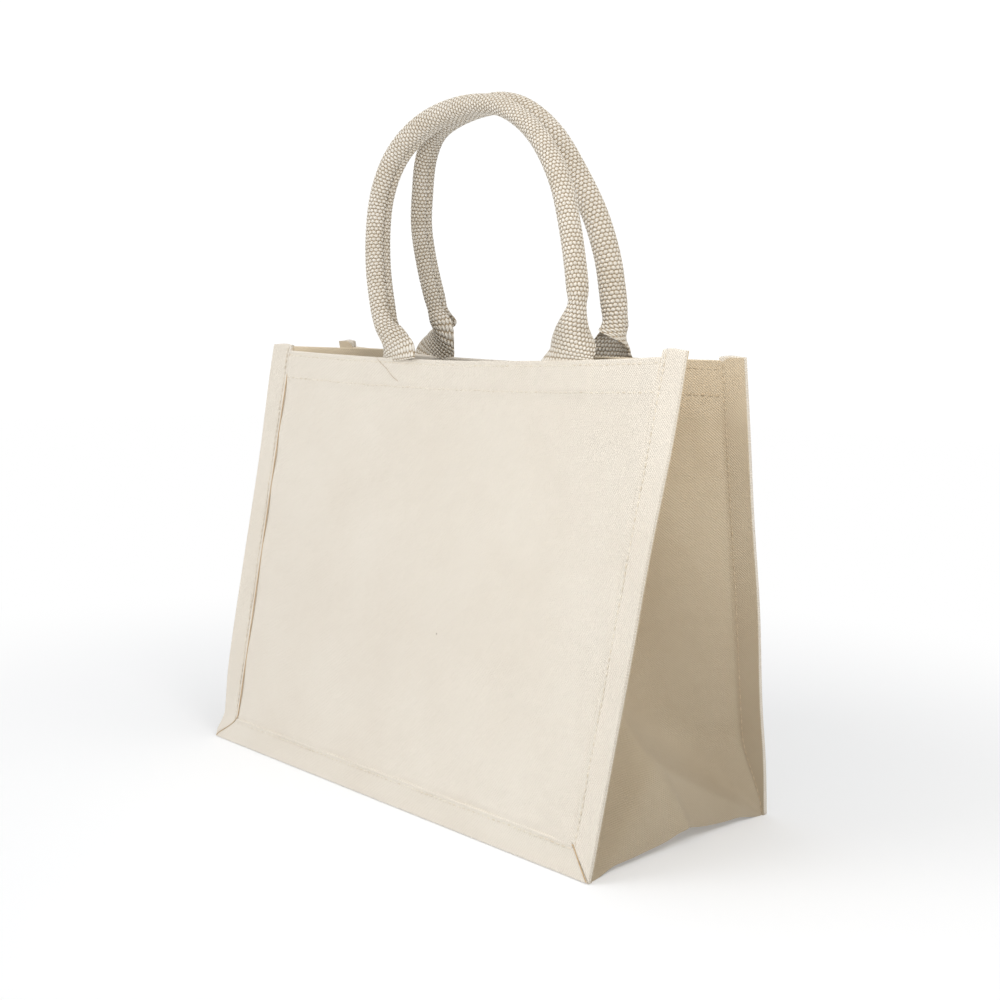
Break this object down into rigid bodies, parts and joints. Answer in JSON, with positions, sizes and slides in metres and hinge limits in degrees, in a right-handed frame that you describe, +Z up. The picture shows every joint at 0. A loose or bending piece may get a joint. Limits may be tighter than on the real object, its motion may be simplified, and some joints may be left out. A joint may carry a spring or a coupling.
{
  "type": "tote bag",
  "caption": "Open canvas tote bag with outward side and bottom seams, folded side gussets, a hemmed rim and a rolled webbing handle on each panel.",
  "frame": {"origin": "centre of the bag's footprint, on the surface it stands on", "axes": "+X to the right as the front panel is faced, +Y towards the back panel, +Z up"},
  "size_m": [0.4122, 0.2108, 0.4965],
  "materials": {
    "canvas": "undyed cotton canvas, twill weave",
    "webbing": "undyed cotton webbing, coarse basket weave",
    "thread": "spun sewing thread",
    "core": "cotton cord"
  },
  "bodies": {
    "base": {"bottom_panel": "canvas", "left_gusset": "canvas", "left_gusset_hem": "canvas", "left_gusset_upper_thread": "thread", "left_gusset_lower_thread": "thread", "right_gusset": "canvas", "right_gusset_hem": "canvas", "right_gusset_upper_thread": "thread", "right_gusset_lower_thread": "thread"},
    "front_side": {"front_panel": "canvas", "front_bottom_fin": "canvas", "front_left_fin": "canvas", "front_right_fin": "canvas", "front_hem": "canvas", "front_handle_left_tail": "webbing", "front_handle_right_tail": "webbing", "front_bottom_seam_thread": "thread", "front_left_seam_thread": "thread", "front_right_seam_thread": "thread", "front_hem_upper_thread": "thread", "front_hem_lower_thread": "thread"},
    "front_handle": {"front_handle_webbing": "webbing", "front_handle_core": "core", "front_handle_closing_thread": "thread"},
    "back_side": {"back_panel": "canvas", "back_bottom_fin": "canvas", "back_left_fin": "canvas", "back_right_fin": "canvas", "back_hem": "canvas", "back_handle_left_tail": "webbing", "back_handle_right_tail": "webbing", "back_bottom_seam_thread": "thread", "back_left_seam_thread": "thread", "back_right_seam_thread": "thread", "back_hem_upper_thread": "thread", "back_hem_lower_thread": "thread"},
    "back_handle": {"back_handle_webbing": "webbing", "back_handle_core": "core", "back_handle_closing_thread": "thread"}
  },
  "joints": [
    {"name": "front_panel_hinge", "type": "hinge", "parent": "base", "child": "front_side", "pos_m": [0, -0.09085, 0], "axis": [1, 0, 0], "range_deg": [0, 10.4]},
    {"name": "front_handle_hinge", "type": "hinge", "parent": "front_side", "child": "front_handle", "pos_m": [0, -0.02523, 0.31635], "axis": [1, 0, 0], "range_deg": [0, 135]},
    {"name": "back_panel_hinge", "type": "hinge", "parent": "base", "child": "back_side", "pos_m": [0, 0.09085, 0], "axis": [-1, 0, 0], "range_deg": [0, 10.4]},
    {"name": "back_handle_hinge", "type": "hinge", "parent": "back_side", "child": "back_handle", "pos_m": [0, 0.02523, 0.31635], "axis": [-1, 0, 0], "range_deg": [0, 135]}
  ]
}
